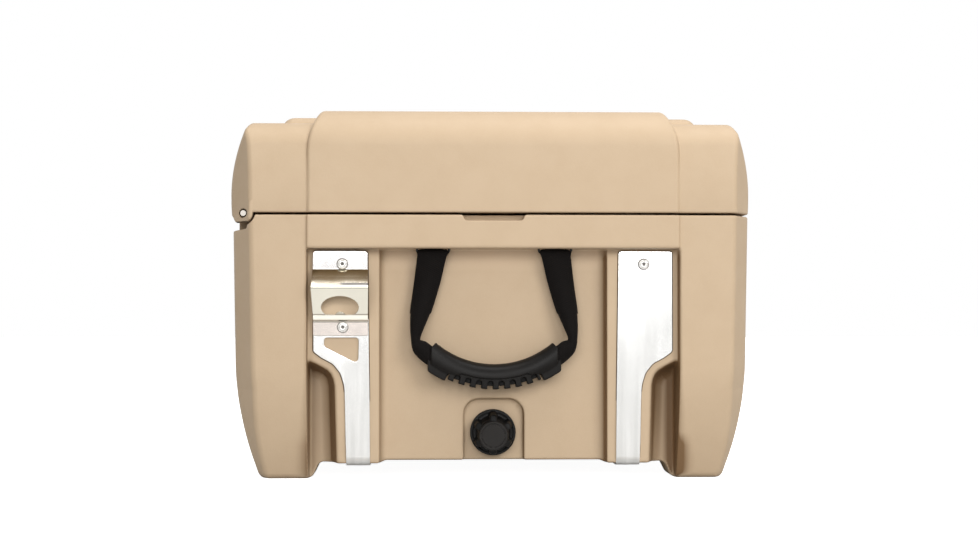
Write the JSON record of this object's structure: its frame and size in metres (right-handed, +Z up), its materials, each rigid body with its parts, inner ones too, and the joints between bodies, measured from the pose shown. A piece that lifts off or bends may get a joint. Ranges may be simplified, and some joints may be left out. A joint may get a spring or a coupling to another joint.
{
  "type": "cooler chest",
  "caption": "Double-walled hinged cooler chest with corner posts, webbing handles, steel skid plates, a bottle opener, rubber latches and a screw drain cap.",
  "frame": {"origin": "centre of the footprint, on the ground the feet stand on", "axes": "+Z up, +X along the length away from the drain, -Y is the latch side and +Y the hinge side"},
  "size_m": [0.7202, 0.544, 0.389],
  "materials": {
    "sand_shell": "fine pebbled rotomoulded polyethylene in sand",
    "foam": "rigid polyurethane insulation foam, closed cell",
    "plate_steel": "bright stainless sheet, fine brushed",
    "fastener_steel": "plain stainless",
    "grip_plastic": "satin black moulded grip",
    "drain_plastic": "matte black moulded plastic",
    "webbing": "black woven polypropylene webbing",
    "latch_rubber": "black moulded rubber",
    "seal": "soft grey seal rubber"
  },
  "bodies": {
    "cooler_body": {"body_fill_plug": "sand_shell", "body_foam": "foam", "body_shell": "sand_shell", "bottle_opener": "plate_steel", "drain_bushing": "drain_plastic", "drain_inner_nut": "drain_plastic", "foot_screw_front_drain": "fastener_steel", "foot_screw_front_far": "fastener_steel", "foot_screw_rear_drain": "fastener_steel", "foot_screw_rear_far": "fastener_steel", "hinge_rod": "fastener_steel", "latch_bracket_left": "fastener_steel", "latch_bracket_right": "fastener_steel", "latch_pin_left": "fastener_steel", "latch_pin_right": "fastener_steel", "latch_screw_left_inner": "fastener_steel", "latch_screw_left_outer": "fastener_steel", "latch_screw_right_inner": "fastener_steel", "latch_screw_right_outer": "fastener_steel", "plate_screw_front_drain_upper": "fastener_steel", "plate_screw_front_far_upper": "fastener_steel", "plate_screw_rear_drain_lower": "fastener_steel", "plate_screw_rear_drain_upper": "fastener_steel", "plate_screw_rear_far_upper": "fastener_steel", "skid_plate_front_drain": "plate_steel", "skid_plate_front_far": "plate_steel", "skid_plate_rear_drain": "plate_steel", "skid_plate_rear_far": "plate_steel", "strap_anchor_drain_end_front": "fastener_steel", "strap_anchor_drain_end_rear": "fastener_steel", "strap_anchor_far_end_front": "fastener_steel", "strap_anchor_far_end_rear": "fastener_steel"},
    "lid": {"lid_shell": "sand_shell", "lid_foam": "foam", "lid_fill_plug": "sand_shell", "lid_gasket": "seal"},
    "latch_left": {"latch_left": "latch_rubber"},
    "latch_right": {"latch_right": "latch_rubber"},
    "handle_drain_end": {"handle_grip_drain_end": "grip_plastic", "handle_strap_drain_end": "webbing"},
    "handle_far_end": {"handle_grip_far_end": "grip_plastic", "handle_strap_far_end": "webbing"},
    "drain_seal": {"drain_washer": "seal"},
    "drain_cap": {"drain_cap": "drain_plastic"}
  },
  "joints": [
    {"name": "lid_hinge", "type": "hinge", "parent": "cooler_body", "child": "lid", "pos_m": [0, 0.262, 0.279], "axis": [-1, 0, 0], "range_deg": [0, 95]},
    {"name": "latch_left_swing", "type": "hinge", "parent": "cooler_body", "child": "latch_left", "pos_m": [-0.165, -0.265, 0.178], "axis": [1, 0, 0], "range_deg": [0, 150]},
    {"name": "latch_right_swing", "type": "hinge", "parent": "cooler_body", "child": "latch_right", "pos_m": [0.165, -0.265, 0.178], "axis": [1, 0, 0], "range_deg": [0, 150]},
    {"name": "handle_drain_end_swing", "type": "hinge", "parent": "cooler_body", "child": "handle_drain_end", "pos_m": [-0.341, 0, 0.236], "axis": [0, 1, 0], "range_deg": [0, 90]},
    {"name": "handle_far_end_swing", "type": "hinge", "parent": "cooler_body", "child": "handle_far_end", "pos_m": [0.341, 0, 0.236], "axis": [0, -1, 0], "range_deg": [0, 90]},
    {"name": "drain_travel", "type": "slide", "parent": "cooler_body", "child": "drain_seal", "axis": [-1, 0, 0], "range_m": [0, 0.0103]},
    {"name": "drain_spin", "type": "hinge", "parent": "drain_seal", "child": "drain_cap", "pos_m": [-0.322, 0, 0.0477], "axis": [-1, 0, 0], "range_deg": [0, 1080]}
  ],
  "couplings": [
    {"joint": "drain_travel", "follows": "drain_spin", "m_per_rad": 0.00054113}
  ]
}
